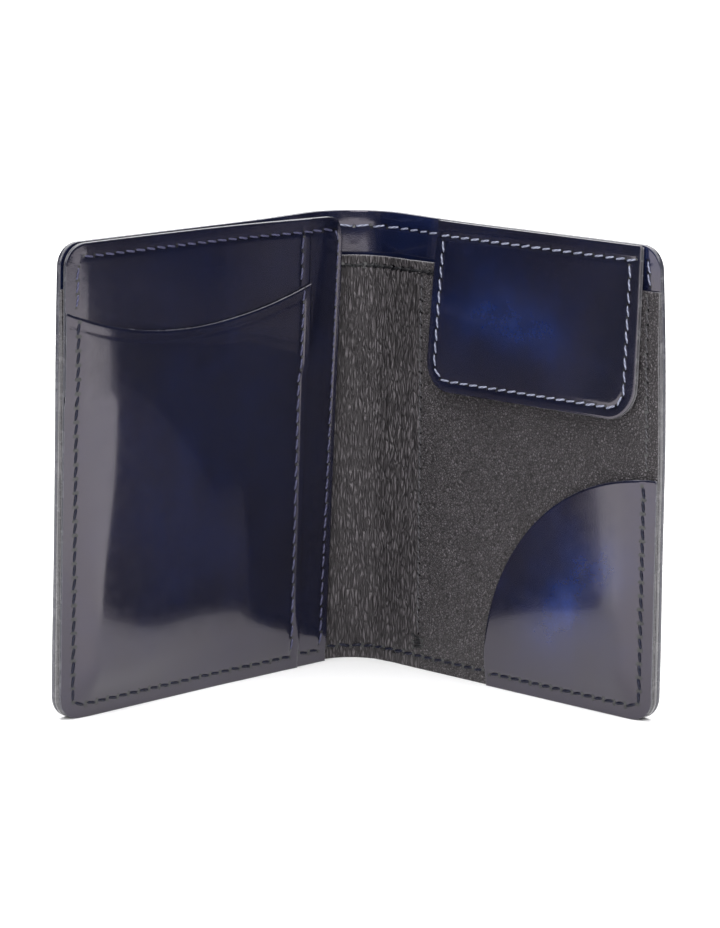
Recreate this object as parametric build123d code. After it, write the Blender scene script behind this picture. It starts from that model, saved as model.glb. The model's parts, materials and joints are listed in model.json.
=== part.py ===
from build123d import *
from math import cos, degrees, radians, sin, tan
import os

# A leather wallet that opens like a book: two panels and one soft spine, standing on its bottom
# edges and opened to a right angle. Millimetres. +Z is up, X runs from the left panel to the
# right one, and the spine is at +Y. The origin is under the middle of the bounding box.
# Each piece is made on the right-hand panel and mirrored where it belongs on the left one.
# "along" runs along the panel from the start of the spine bend to the panel's free edge, and
# "depth" runs inwards from the outer face of the cover.

# Driving dimensions
HEIGHT = 102.0
PANEL_LENGTH = 77.1
CORNER_RADIUS = 5.0
HALF_OPENING = 45.0

# Leather and cloth thicknesses, from the outside in
COVER_THICK = 1.1
FACING_THICK = 0.5
BILL_CLOTH_THICK = 0.3
BILL_GAP = 1.0
LINING_THICK = 0.8

# Spine bend and fold lines
LINING_BEND_RADIUS = 10.6
FOLD_ANGLE = 25.0
FOLD_CLEARANCE = 0.15
FOLD_SWING = 45.0

# Top strip and inner lining
FACING_HEIGHT = 16.0
LINING_TOP = 92.5
HEM_WIDTH = 4.0
CLOTH_CLEARANCE = 0.3

# Leaf with the card pocket, on the left panel
LEAF_STANDOFF = 0.4
LEAF_BACK_THICK = 0.5
LEAF_FRONT_THICK = 0.7
LEAF_WIDTH = 78.6
LEAF_CORNER_RADIUS = 5.5
CARD_FACING_THICK = 0.6
CARD_FACING_BOTTOM = 70.0
CARD_GAP = 0.8
CARD_POCKET_THICK = 0.7
CARD_POCKET_WIDTH = 69.3
CARD_SEAM_INSET = 2.3
MOUTH_END = 87.2
MOUTH_DROP = 6.7

# Corner pocket, on the right panel
CORNER_POCKET_THICK = 0.8
CORNER_POCKET_RADIUS = 47.4
CORNER_POCKET_BEYOND_EDGE = 1.0
CORNER_POCKET_RISE = 5.1

# Flap, on the right panel
FLAP_FIRST = 4.0
FLAP_LAST = 61.6
FLAP_HINGE = 98.25
FLAP_HINGE_GAP = 0.15
FLAP_KNEE = 92.0
FLAP_BOTTOM = 64.8
FLAP_KNEE_STANDOFF = 1.0
FLAP_END_STANDOFF = 2.0
FLAP_ROOT_THICK = 0.8
FLAP_FRONT_THICK = 0.8
FLAP_BACK_THICK = 0.6
FLAP_CORNER_RADIUS = 6.5

# Thread
STITCH_PITCH = 3.0
STITCH_LENGTH = 2.2
STITCH_WIDTH = 0.5
STITCH_HEIGHT = 0.22
SEAM_INSET = 3.0
TOP_ROW = HEIGHT - 3.4
LINING_ROW = LINING_TOP - 2.3
LEAF_ROW_INSET = 2.3
FLAP_ROW_INSET = 2.6
LINING_SEAM = 66.8
LINING_SEAM_BOTTOM = 6.6
TACK_PITCH = 0.9
TACK_COUNT = 3

# Depths of the faces that pieces lie on
FACING_FACE = COVER_THICK + FACING_THICK
LINING_BACK = FACING_FACE + BILL_GAP
LINING_FACE = LINING_BACK + LINING_THICK
LEAF_BACK = LINING_FACE + LEAF_STANDOFF
LEAF_MIDDLE = LEAF_BACK + LEAF_BACK_THICK
LEAF_FACE = LEAF_MIDDLE + LEAF_FRONT_THICK
CARD_FACING_FACE = LEAF_FACE + CARD_FACING_THICK
CARD_POCKET_BACK = LEAF_FACE + CARD_GAP
CARD_POCKET_FACE = CARD_POCKET_BACK + CARD_POCKET_THICK
CORNER_POCKET_FACE = LINING_FACE + CORNER_POCKET_THICK
FLAP_ROOT_FACE = FACING_FACE + FLAP_ROOT_THICK
FLAP_THICK = FLAP_FRONT_THICK + FLAP_BACK_THICK

# The spine bend: its outer radius, and its centre, placed so that the bounding box is centred
OUTER_RADIUS = LINING_BEND_RADIUS + LINING_FACE
FOLD_RADIUS = OUTER_RADIUS - COVER_THICK
OPENING_COS = cos(radians(HALF_OPENING))
OPENING_SIN = sin(radians(HALF_OPENING))
BACK_REACH = OUTER_RADIUS + STITCH_HEIGHT
FRONT_REACH = (OUTER_RADIUS - CARD_POCKET_FACE) * OPENING_COS - PANEL_LENGTH * OPENING_SIN
BEND_CENTRE_Y = -(BACK_REACH + FRONT_REACH) / 2


def bend_point(radius, angle):
    """The plan position at an angle from +Y about the centre of the spine bend."""
    return (radius * sin(radians(angle)), BEND_CENTRE_Y + radius * cos(radians(angle)))


def wall_plane(along, depth):
    """A plane on the right-hand half: X along the wall, Y up, and Z into the wallet.
    A negative place lies on the spine bend, measured along the face at that depth."""
    radius = OUTER_RADIUS - depth
    bent = min(along, 0.0) / radius
    angle = HALF_OPENING + degrees(bent)
    at = bend_point(radius, angle)
    wide, deep = cos(radians(angle)), sin(radians(angle))
    flat = max(along, 0.0)
    origin = (at[0] + flat * wide, at[1] - flat * deep, 0)
    return Plane(origin=origin, x_dir=(wide, -deep, 0), z_dir=(-deep, -wide, 0))


def fold_point():
    """The plan position of the right-hand fold line, on the inner face of the cover."""
    return bend_point(FOLD_RADIUS, FOLD_ANGLE)


def flap_axis_point():
    """A point on the flap's hinge line, just in front of the flap's face, which meets the root when
    the flap is turned right up."""
    plane = wall_plane(0, FACING_FACE + FLAP_THICK + 2 * FLAP_HINGE_GAP)
    return tuple((plane * Pos(0, FLAP_HINGE, 0)).position)


# Sketches in a panel's own plane: X along the panel, Y up


def from_edge(distance):
    """The place along the panel at a distance from its free edge."""
    return PANEL_LENGTH - distance


def window(first, last, bottom, top):
    """An upright rectangle from one place along the panel to another."""
    return Pos((first + last) / 2, (bottom + top) / 2) * Rectangle(last - first, top - bottom)


def panel_outline():
    """The whole panel, with its two free corners rounded."""
    sheet = window(0, PANEL_LENGTH, 0, HEIGHT)
    corners = sheet.vertices().sort_by(Axis.X)[-2:]
    return fillet(corners, CORNER_RADIUS)


def sheet(sketch, depth, thick):
    """A flat sheet lying on the right-hand panel."""
    plane = wall_plane(0, depth)
    return extrude(plane * sketch, amount=thick, dir=plane.z_dir)


def bend(depth, thick, bottom, top):
    """The right-hand half of a sheet's bend round the spine."""
    outer = OUTER_RADIUS - depth
    inner = outer - thick
    middle = HALF_OPENING / 2
    ring = Polyline(bend_point(inner, 0), bend_point(outer, 0))
    ring += ThreePointArc(
        bend_point(outer, 0), bend_point(outer, middle), bend_point(outer, HALF_OPENING)
    )
    ring += Polyline(bend_point(outer, HALF_OPENING), bend_point(inner, HALF_OPENING))
    ring += ThreePointArc(
        bend_point(inner, HALF_OPENING), bend_point(inner, middle), bend_point(inner, 0)
    )
    return extrude(Pos(0, 0, bottom) * make_face(ring), amount=top - bottom)


def fold_relief():
    """What is cut away at the right-hand fold line, so that the stiff stand-ins of the sheets
    turn by the fold's swing each way without meeting."""
    reach = LINING_FACE + COVER_THICK
    spread = reach * tan(radians(FOLD_SWING / 2)) + FOLD_CLEARANCE
    bow_tie = Polyline(
        (FOLD_CLEARANCE, 0),
        (spread, reach),
        (-spread, reach),
        (-FOLD_CLEARANCE, 0),
        (-spread, -reach),
        (spread, -reach),
        close=True,
    )
    turned = Rot(0, 0, -FOLD_ANGLE) * make_face(bow_tie)
    return extrude(Pos(*fold_point(), 0) * turned, amount=HEIGHT)


def mirrored(piece):
    """The same piece on the left-hand panel."""
    return mirror(piece, about=Plane.YZ)


def wrapped(name, panel, spine_half):
    """A sheet that runs over both panels and the spine, cut at its two fold lines."""
    half = panel + spine_half - fold_relief()
    inner, outer = half.solids().sort_by(Axis.X)
    return {
        f"{name}_left": mirrored(outer),
        f"{name}_spine": inner + mirrored(inner),
        f"{name}_right": outer,
    }


# The cover, the top strip and the linings


def cover():
    """The outer leather, which is the outside of the wallet in one run."""
    panel = sheet(panel_outline(), 0, COVER_THICK)
    return wrapped("cover", panel, bend(0, COVER_THICK, 0, HEIGHT))


def top_facing():
    """The strip that faces the inside of the cover above the inner lining."""
    bottom = HEIGHT - FACING_HEIGHT
    outline = panel_outline() & window(0, PANEL_LENGTH, bottom, HEIGHT)
    panel = sheet(outline, COVER_THICK, FACING_THICK)
    return wrapped("top_facing", panel, bend(COVER_THICK, FACING_THICK, bottom, HEIGHT))


def bill_cloth():
    """The cloth that lines the note compartment behind the inner lining."""
    bottom = HEM_WIDTH + CLOTH_CLEARANCE
    top = HEIGHT - FACING_HEIGHT - CLOTH_CLEARANCE
    outline = window(0, from_edge(HEM_WIDTH + CLOTH_CLEARANCE), bottom, top)
    panel = sheet(outline, COVER_THICK, BILL_CLOTH_THICK)
    return wrapped("bill_cloth", panel, bend(COVER_THICK, BILL_CLOTH_THICK, bottom, top))


def inner_lining():
    """The grained lining, whose turned hems hold it off the cover and leave the note compartment."""
    facing_bottom = HEIGHT - FACING_HEIGHT
    outline = panel_outline() & window(0, PANEL_LENGTH, 0, LINING_TOP)
    side = window(from_edge(HEM_WIDTH), PANEL_LENGTH, 0, LINING_TOP)
    below = window(0, PANEL_LENGTH, 0, facing_bottom)
    foot = window(0, PANEL_LENGTH, 0, HEM_WIDTH)
    hem = outline & (side + foot)
    panel = sheet(outline, LINING_BACK, LINING_THICK)
    panel += sheet(hem, FACING_FACE, BILL_GAP)
    panel += sheet(hem & below, COVER_THICK, FACING_THICK)
    spine_half = bend(LINING_BACK, LINING_THICK, 0, LINING_TOP)
    spine_half += bend(COVER_THICK, FACING_THICK + BILL_GAP, 0, HEM_WIDTH)
    return wrapped("inner_lining", panel, spine_half)


# The leaf and the card pocket, on the left panel


def leaf_outline():
    """The leaf, with the corner rounded at its free top end."""
    board = window(from_edge(LEAF_WIDTH), from_edge(2 * CORNER_RADIUS), 0, HEIGHT)
    corner = board.vertices().filter_by(lambda v: v.Y > HEIGHT / 2).sort_by(Axis.X)[0]
    return fillet([corner], LEAF_CORNER_RADIUS) + (
        panel_outline() & window(from_edge(3 * CORNER_RADIUS), PANEL_LENGTH, 0, HEIGHT)
    )


def leaf():
    """The leaf's grey backing and its polished front, sewn down along two sides only."""
    outline = leaf_outline()
    sewn = window(from_edge(HEM_WIDTH), PANEL_LENGTH, 0, HEIGHT)
    sewn += window(from_edge(LEAF_WIDTH - LEAF_CORNER_RADIUS), PANEL_LENGTH, 0, HEM_WIDTH)
    below_lining_top = window(0, PANEL_LENGTH, 0, LINING_TOP)
    backing = sheet(outline, LEAF_BACK, LEAF_BACK_THICK)
    backing += sheet(outline & sewn & below_lining_top, LINING_FACE, LEAF_STANDOFF)
    front = sheet(outline, LEAF_MIDDLE, LEAF_FRONT_THICK)
    return {"leaf_backing": mirrored(backing), "leaf_front": mirrored(front)}


def card_facing():
    """The strip behind the card pocket's mouth."""
    region = window(from_edge(CARD_POCKET_WIDTH), PANEL_LENGTH, CARD_FACING_BOTTOM, HEIGHT)
    strip = sheet(panel_outline() & region, LEAF_FACE, CARD_FACING_THICK)
    return {"card_facing": mirrored(strip)}


def mouth_radius():
    """The radius of the scooped mouth, from its width and how far it drops."""
    half = CARD_POCKET_WIDTH / 2
    return (half**2 + MOUTH_DROP**2) / (2 * MOUTH_DROP)


def card_pocket():
    """The card pocket, with a scooped mouth and a hem round its three sewn sides."""
    radius = mouth_radius()
    first = from_edge(CARD_POCKET_WIDTH)
    scoop = Pos(from_edge(CARD_POCKET_WIDTH / 2), MOUTH_END - MOUTH_DROP + radius) * Circle(radius)
    outline = (panel_outline() & window(first, PANEL_LENGTH, 0, MOUTH_END)) - scoop
    inside = window(first + HEM_WIDTH, from_edge(HEM_WIDTH), HEM_WIDTH, HEIGHT)
    low = window(first, PANEL_LENGTH, 0, CARD_FACING_BOTTOM - CLOTH_CLEARANCE)
    pocket = sheet(outline, CARD_POCKET_BACK, CARD_POCKET_THICK)
    pocket += sheet((outline & low) - inside, LEAF_FACE, CARD_GAP)
    return {"card_pocket": mirrored(pocket)}


# The corner pocket and the flap, on the right panel


def corner_pocket():
    """The quarter-round pocket in the lower free corner."""
    disc = Pos(from_edge(-CORNER_POCKET_BEYOND_EDGE), CORNER_POCKET_RISE) * Circle(CORNER_POCKET_RADIUS)
    return {"corner_pocket": sheet(panel_outline() & disc, LINING_FACE, CORNER_POCKET_THICK)}


def flap_depth(height):
    """How deep the flap's back face lies at a height: it steps over the lining's top edge at the
    knee, and stands further off towards its free end."""
    top = FACING_FACE + FLAP_HINGE_GAP
    knee = LINING_FACE + FLAP_KNEE_STANDOFF
    end = LINING_FACE + FLAP_END_STANDOFF
    if height > FLAP_KNEE:
        return knee + (top - knee) * (height - FLAP_KNEE) / (FLAP_HINGE - FLAP_KNEE)
    return knee + (end - knee) * (FLAP_KNEE - height) / (FLAP_KNEE - FLAP_BOTTOM)


def flap_layer(behind, thick):
    """One layer of the flap, as far in front of its back face as said."""
    heights = [FLAP_HINGE - FLAP_HINGE_GAP, FLAP_KNEE, FLAP_BOTTOM]
    back = [(flap_depth(z) + behind, z) for z in heights]
    front = [(depth + thick, z) for depth, z in reversed(back)]
    profile = make_face(Polyline(*back, *front, close=True))
    end = wall_plane(from_edge(FLAP_LAST), 0)
    across = Plane(origin=end.origin, x_dir=end.z_dir, z_dir=-end.x_dir)
    strip = extrude(across * profile, amount=FLAP_LAST - FLAP_FIRST, dir=end.x_dir)
    board = window(from_edge(FLAP_LAST), from_edge(FLAP_FIRST), FLAP_BOTTOM, HEIGHT)
    corners = board.vertices().filter_by(lambda v: v.Y < FLAP_KNEE)
    return strip & sheet(fillet(corners, FLAP_CORNER_RADIUS), 0, 2 * CARD_POCKET_FACE)


def flap():
    """The flap's root, sewn to the top strip, and its polished front and grey back."""
    root = window(from_edge(FLAP_LAST), from_edge(FLAP_FIRST), FLAP_HINGE + FLAP_HINGE_GAP, HEIGHT)
    return {
        "flap_root": sheet(root, FACING_FACE, FLAP_ROOT_THICK),
        "flap_backing": flap_layer(0, FLAP_BACK_THICK),
        "flap_front": flap_layer(FLAP_BACK_THICK, FLAP_FRONT_THICK),
    }


# Thread


def stitch(along, height, depth, turn=0.0, lean=0.0):
    """One stitch lying on a face of the right-hand half."""
    low = (Align.CENTER, Align.CENTER, Align.MIN)
    bar = Box(STITCH_LENGTH, STITCH_WIDTH, STITCH_HEIGHT, align=low)
    return wall_plane(along, depth) * Pos(0, height, 0) * Rot(lean, 0, 0) * Rot(0, 0, turn) * bar


def places(first, last, pitch=STITCH_PITCH):
    """Evenly spaced stitch middles between two ends."""
    count = max(1, int((last - first) / pitch))
    step = (last - first) / count
    return [first + step * (i + 0.5) for i in range(count)]


def level_row(first, last, height, depth):
    """Stitches in a level row, between two distances from the panel's free edge."""
    return [stitch(from_edge(u), height, depth) for u in places(first, last)]


def upright_row(inset, bottom, top, depth):
    """Stitches in an upright row, at a distance from the panel's free edge."""
    return [stitch(from_edge(inset), z, depth, turn=90) for z in places(bottom, top)]


def round_row(height, depth):
    """A level row round the bend, sorted into the right-hand stitches on the spine and those on
    the panel. None lies across the fold line."""
    radius = OUTER_RADIUS - depth
    relief = abs(depth - COVER_THICK) * tan(radians(FOLD_SWING / 2)) + FOLD_CLEARANCE
    clear = STITCH_LENGTH / 2 + relief
    on_spine = radius * radians(FOLD_ANGLE) - clear
    on_panel = radius * radians(HALF_OPENING - FOLD_ANGLE) - clear
    middle = -radius * radians(HALF_OPENING)
    spine_count = int(on_spine / STITCH_PITCH + 0.5)
    panel_count = int(on_panel / STITCH_PITCH)
    spine = [stitch(middle + STITCH_PITCH * (i + 0.5), height, depth) for i in range(spine_count)]
    panel = [stitch(-STITCH_PITCH * (i + 0.5), height, depth) for i in range(panel_count)]
    return spine, panel


def thread_nodes(name, spine, left, right):
    """The threads of one kind on the spine and on the two panels, each made on the right."""
    return {
        f"{name}_spine": Compound(spine + [mirrored(bar) for bar in spine]),
        f"{name}_left": Compound([mirrored(bar) for bar in left]),
        f"{name}_right": Compound(right),
    }


# Bars on the concave faces of the bend stand a little clear, as a straight bar's ends would dig in
BEND_LIFT = 0.08
OUTSIDE = -STITCH_HEIGHT


def seam_threads():
    """The seam along the bottom and up both free edges, inside and outside."""
    ends = SEAM_INSET + STITCH_PITCH / 2
    spine_in, panel_in = round_row(SEAM_INSET, LINING_FACE + BEND_LIFT)
    spine_out, panel_out = round_row(SEAM_INSET, OUTSIDE)
    outside = level_row(ends, PANEL_LENGTH, SEAM_INSET, OUTSIDE)
    outside += upright_row(SEAM_INSET, ends, TOP_ROW, OUTSIDE) + panel_out
    left = level_row(ends, CARD_POCKET_WIDTH - CARD_SEAM_INSET, SEAM_INSET, CARD_POCKET_FACE)
    left += upright_row(SEAM_INSET, ends, MOUTH_END - 2, CARD_POCKET_FACE)
    left += upright_row(SEAM_INSET, MOUTH_END + 1, TOP_ROW, CARD_FACING_FACE)
    right = level_row(ends, CORNER_POCKET_RADIUS - 3, SEAM_INSET, CORNER_POCKET_FACE)
    right += level_row(CORNER_POCKET_RADIUS + 1, PANEL_LENGTH, SEAM_INSET, LINING_FACE)
    right += upright_row(SEAM_INSET, ends, CORNER_POCKET_RADIUS + 3, CORNER_POCKET_FACE)
    right += upright_row(SEAM_INSET, CORNER_POCKET_RADIUS + 7, LINING_TOP - 1, LINING_FACE)
    right += panel_in
    return thread_nodes("seam_threads", spine_in + spine_out, left + outside, right + outside)


def top_threads():
    """The row below the top edge, inside on the top strip and outside on the cover."""
    spine_in, panel_in = round_row(TOP_ROW, FACING_FACE + BEND_LIFT)
    spine_out, panel_out = round_row(TOP_ROW, OUTSIDE)
    ends = SEAM_INSET + STITCH_PITCH / 2
    outside = level_row(ends, PANEL_LENGTH, TOP_ROW, OUTSIDE) + panel_out + panel_in
    left = level_row(ends, PANEL_LENGTH, TOP_ROW, FACING_FACE)
    right = level_row(FLAP_LAST + 2, PANEL_LENGTH, TOP_ROW, FACING_FACE)
    return thread_nodes("top_threads", spine_in + spine_out, left + outside, right + outside)


def lining_threads():
    """The row below the inner lining's top edge, and its upright seam on the right panel."""
    spine, panel = round_row(LINING_ROW, LINING_FACE + BEND_LIFT)
    left = level_row(HEM_WIDTH, PANEL_LENGTH, LINING_ROW, LINING_FACE) + panel
    right = left + upright_row(LINING_SEAM, LINING_SEAM_BOTTOM, LINING_ROW - 1, LINING_FACE)
    for i in range(TACK_COUNT):
        low = LINING_SEAM_BOTTOM - (i + 1) * TACK_PITCH
        right.append(stitch(from_edge(LINING_SEAM), low, LINING_FACE))
    return thread_nodes("lining_threads", spine, left, right)


def leaf_threads():
    """The leaf's own row along its top and its free upright edge, and its foot past the pocket."""
    inset = LEAF_WIDTH - LEAF_ROW_INSET
    past = CARD_POCKET_WIDTH + 1
    bars = level_row(SEAM_INSET + 1.5, CARD_POCKET_WIDTH - 3.5, HEIGHT - LEAF_ROW_INSET, CARD_FACING_FACE)
    bars += level_row(past, LEAF_WIDTH - LEAF_CORNER_RADIUS, HEIGHT - LEAF_ROW_INSET, LEAF_FACE)
    bars += upright_row(inset, SEAM_INSET + 1.5, HEIGHT - LEAF_CORNER_RADIUS, LEAF_FACE)
    bars += level_row(past, inset - 1, SEAM_INSET, LEAF_FACE)
    return {"leaf_threads": Compound([mirrored(bar) for bar in bars])}


def card_threads():
    """The upright seam that closes the card pocket on the side of the spine."""
    inset = CARD_POCKET_WIDTH - CARD_SEAM_INSET
    bars = upright_row(inset, SEAM_INSET + 1.5, MOUTH_END - 3, CARD_POCKET_FACE)
    bars += upright_row(inset, MOUTH_END + 1, HEIGHT - LEAF_ROW_INSET, CARD_FACING_FACE)
    return {"card_threads": Compound([mirrored(bar) for bar in bars])}


def flap_lean():
    """How far the lower part of the flap leans from upright, in degrees."""
    return (Vector(FLAP_KNEE - FLAP_BOTTOM, FLAP_END_STANDOFF - FLAP_KNEE_STANDOFF)).get_angle(Vector(1, 0))


def flap_stitch(inset, height, turn=0.0):
    """One stitch on the front of the lower part of the flap."""
    depth = flap_depth(height) + FLAP_THICK + FOLD_CLEARANCE / 3
    return stitch(from_edge(inset), height, depth, turn=turn, lean=-flap_lean())


def flap_threads():
    """The row round the flap's three free sides, and the row that sews its root down."""
    first, last = FLAP_FIRST + FLAP_ROW_INSET, FLAP_LAST - FLAP_ROW_INSET
    low = FLAP_BOTTOM + FLAP_ROW_INSET
    round_by = FLAP_CORNER_RADIUS - FLAP_ROW_INSET
    bars = [flap_stitch(u, low) for u in places(first + round_by, last - round_by)]
    for z in places(low + round_by, FLAP_KNEE - 1):
        bars += [flap_stitch(u, z, turn=90) for u in (first, last)]
    middle = HEIGHT - (HEIGHT - FLAP_HINGE) / 2
    root = level_row(FLAP_FIRST + 1, FLAP_LAST - 1, middle, FLAP_ROOT_FACE)
    return {"flap_threads": Compound(bars), "flap_root_threads": Compound(root)}


def pieces():
    """Every piece of the wallet, by name."""
    makers = [cover, top_facing, bill_cloth, inner_lining, leaf, card_facing, card_pocket]
    makers += [corner_pocket, flap, seam_threads, top_threads, lining_threads]
    makers += [leaf_threads, card_threads, flap_threads]
    made = {}
    for maker in makers:
        made.update(maker())
    return made


def main():
    os.makedirs("parts", exist_ok=True)
    for name, piece in pieces().items():
        piece.label = name
        export_step(piece, f"parts/{name}.step")


if __name__ == "__main__":
    main()
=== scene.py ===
import json
import math

import bpy
import numpy as np
from mathutils import Matrix, Vector
from mathutils.geometry import delaunay_2d_cdt


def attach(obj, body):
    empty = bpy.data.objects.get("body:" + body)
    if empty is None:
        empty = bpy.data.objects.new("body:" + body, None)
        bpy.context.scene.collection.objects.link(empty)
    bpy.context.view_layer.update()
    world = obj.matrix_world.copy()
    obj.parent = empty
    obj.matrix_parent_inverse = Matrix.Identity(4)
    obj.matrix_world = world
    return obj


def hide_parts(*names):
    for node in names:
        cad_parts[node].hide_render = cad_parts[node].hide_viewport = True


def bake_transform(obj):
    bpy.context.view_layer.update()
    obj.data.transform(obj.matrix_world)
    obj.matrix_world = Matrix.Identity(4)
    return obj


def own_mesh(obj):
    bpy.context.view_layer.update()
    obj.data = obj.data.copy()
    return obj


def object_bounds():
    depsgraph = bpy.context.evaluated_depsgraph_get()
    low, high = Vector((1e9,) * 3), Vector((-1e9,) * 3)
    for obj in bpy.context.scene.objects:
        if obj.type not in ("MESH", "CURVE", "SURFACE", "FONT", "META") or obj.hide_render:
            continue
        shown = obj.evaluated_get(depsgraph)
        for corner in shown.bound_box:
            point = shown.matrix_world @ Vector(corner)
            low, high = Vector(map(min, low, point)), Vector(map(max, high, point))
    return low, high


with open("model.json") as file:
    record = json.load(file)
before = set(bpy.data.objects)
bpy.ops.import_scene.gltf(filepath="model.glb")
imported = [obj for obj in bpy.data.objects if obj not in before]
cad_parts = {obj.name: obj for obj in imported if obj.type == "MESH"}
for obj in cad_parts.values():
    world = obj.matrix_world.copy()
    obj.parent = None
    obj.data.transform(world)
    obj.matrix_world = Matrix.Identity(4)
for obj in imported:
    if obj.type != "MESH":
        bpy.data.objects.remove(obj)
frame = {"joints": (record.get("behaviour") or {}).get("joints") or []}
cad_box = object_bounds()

# Millimetres throughout, turned into metres where a mesh, light or camera is made. A place on a
# panel is (along, height): along runs from the start of the spine bend to the panel's free edge
# and is negative on the bend, and depth runs inwards from the outer face of the cover.
MM = 0.001
LEFT, RIGHT = -1, 1

# Sizes that the frame gives
HEIGHT = cad_box[1].z / MM
JOINTS = {j["name"]: j for j in frame["joints"]}
HALF_OPENING = math.radians(45)
FOLD_ANGLE = math.radians(25)
FOLD_X, FOLD_Y = (c / MM for c in JOINTS["right_fold"]["pos_m"][:2])
FOLD_RADIUS = FOLD_X / math.sin(FOLD_ANGLE)
CENTRE_Y = FOLD_Y - FOLD_RADIUS * math.cos(FOLD_ANGLE)

# Layers, from the outside in
COVER_THICK = 1.1
OUTER_RADIUS = FOLD_RADIUS + COVER_THICK
FACING_FACE = 1.6
CLOTH_THICK = 0.3
LINING_BACK = 2.6
LINING_FACE = 3.4
PANEL_LENGTH = cad_box[1].x / MM / math.cos(HALF_OPENING) - OUTER_RADIUS
BEND_RADIUS = 12.0  # the radius at which distances along the bend are measured
BEND = BEND_RADIUS * HALF_OPENING

CORNER = 5.0
FACING_BOTTOM = 86.0
LINING_TOP = 92.5
HEM = 4.3


def smooth(t):
    """0 below 0, 1 above 1, and an even ramp between them."""
    t = np.clip(t, 0, 1)
    return t * t * (3 - 2 * t)


def from_edge(distance):
    return PANEL_LENGTH - distance


def waves(along, height, seed, length, count=7):
    """A smooth uneven surface of about unit height, with bumps of about this length."""
    rng = np.random.default_rng(seed)
    total = np.zeros_like(np.asarray(along, float) + np.asarray(height, float))
    for _ in range(count):
        turn, phase = rng.uniform(0, 2 * math.pi, 2)
        k = 2 * math.pi / (length * rng.uniform(0.7, 1.6))
        total += np.sin(k * (along * math.cos(turn) + height * math.sin(turn)) + phase)
    return total / math.sqrt(count)


def blue_patch(along, height, middle, lengths, turn):
    """A blue patch drawn out along one direction, partly burnished colour and partly a painted
    sheen.
    """
    x, z = along - middle[0], height - middle[1]
    c, s = math.cos(math.radians(turn)), math.sin(math.radians(turn))
    return np.exp(-(((x * c + z * s) / lengths[0]) ** 2) - (((z * c - x * s) / lengths[1]) ** 2))


def settled(side, along, height, depth):
    """Depths as the leather really lies: the sewn edges are pressed thin, and the free corners of
    the two panels lean a little."""
    reach = np.clip(along, 0, PANEL_LENGTH) / PANEL_LENGTH
    rise = height / HEIGHT
    if side == LEFT:
        thin = 1 - 0.40 * smooth((along + 6) / 40) - 0.16 * smooth((along - PANEL_LENGTH + 5) / 5)
        lean = reach * (2.9 * rise - 1.2)
    else:
        thin = 1 - 0.32 * smooth((along - PANEL_LENGTH + 6) / 6)
        lean = reach * 2.4 * np.clip((rise - 0.55) / 0.45, 0, 1) ** 1.4
    thin = thin * (1 - 0.15 * smooth((7 - height) / 7))
    return COVER_THICK + (depth - COVER_THICK) * np.where(depth > COVER_THICK, thin, 1) + lean


def wall(side, along, height, depth):
    """Points in metres on one side of the wallet."""
    along, height, depth = np.broadcast_arrays(*map(np.float64, (along, height, depth)))
    depth = settled(side, along, height, depth)
    angle = HALF_OPENING * (1 + np.minimum(along, 0) / BEND)
    flat = np.maximum(along, 0)
    radius = OUTER_RADIUS - depth
    x = radius * np.sin(angle) + flat * math.cos(HALF_OPENING)
    y = CENTRE_Y + radius * np.cos(angle) - flat * math.sin(HALF_OPENING)
    return np.stack([side * x, y, height], axis=-1) * MM


# ---------------- outlines


def rounded(corners, step=0.5):
    """An outline from corners of (along, height, radius), anticlockwise."""
    points = []
    n = len(corners)
    for i in range(n):
        here = np.array(corners[i][:2], float)
        radius = corners[i][2]
        before = np.array(corners[i - 1][:2], float) - here
        after = np.array(corners[(i + 1) % n][:2], float) - here
        if radius == 0:
            points.append(here)
            continue
        before /= np.linalg.norm(before)
        after /= np.linalg.norm(after)
        half = math.acos(np.clip(before @ after, -1, 1)) / 2
        middle = here + (before + after) / np.linalg.norm(before + after) * radius / math.sin(half)
        first = here + before * radius / math.tan(half) - middle
        last = here + after * radius / math.tan(half) - middle
        a0 = math.atan2(first[1], first[0])
        turn = (math.atan2(last[1], last[0]) - a0 + math.pi) % (2 * math.pi) - math.pi
        count = max(3, int(abs(turn) * radius / step))
        for a in np.linspace(a0, a0 + turn, count + 1):
            points.append(middle + radius * np.array([math.cos(a), math.sin(a)]))
    return np.array(points)


def resampled(outline, step):
    """The outline with its long sides cut into even steps."""
    out = []
    for a, b in zip(outline, np.roll(outline, -1, axis=0)):
        count = max(1, int(round(np.linalg.norm(b - a) / step)))
        out += [a + (b - a) * i / count for i in range(count)]
    return np.array(out)


def circle_arc(centre, radius, a0, a1, step=0.5):
    count = max(4, int(abs(a1 - a0) * radius / step))
    angles = np.linspace(a0, a1, count + 1)
    return np.stack([centre[0] + radius * np.cos(angles), centre[1] + radius * np.sin(angles)], 1)


def inset_directions(outline, seam):
    """For each point of an anticlockwise outline, the step that moves it inwards by one."""
    before = outline - np.roll(outline, 1, axis=0)
    after = np.roll(outline, -1, axis=0) - outline
    normals = []
    for edge in (before, after):
        edge = edge / np.linalg.norm(edge, axis=1, keepdims=True)
        normals.append(np.stack([-edge[:, 1], edge[:, 0]], axis=1))
    total = normals[0] + normals[1]
    total /= np.linalg.norm(total, axis=1, keepdims=True)
    total /= np.maximum((total * normals[0]).sum(1), 0.5)[:, None]
    if seam is not None:
        on_seam = np.abs(outline[:, 0] - seam) < 1e-6
        total[on_seam, 0] = 0
        total[on_seam, 1] = np.sign(total[on_seam, 1]) * (np.abs(total[on_seam, 1]) > 0.3)
    return total


def to_path(points, path):
    """The distance from each point to a path."""
    best = np.full(len(points), 1e9)
    for a, b in zip(path[:-1], path[1:]):
        d = b - a
        t = np.clip(((points - a) @ d) / max(d @ d, 1e-12), 0, 1)
        best = np.minimum(best, np.linalg.norm(points - a - t[:, None] * d, axis=1))
    return best


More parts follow.
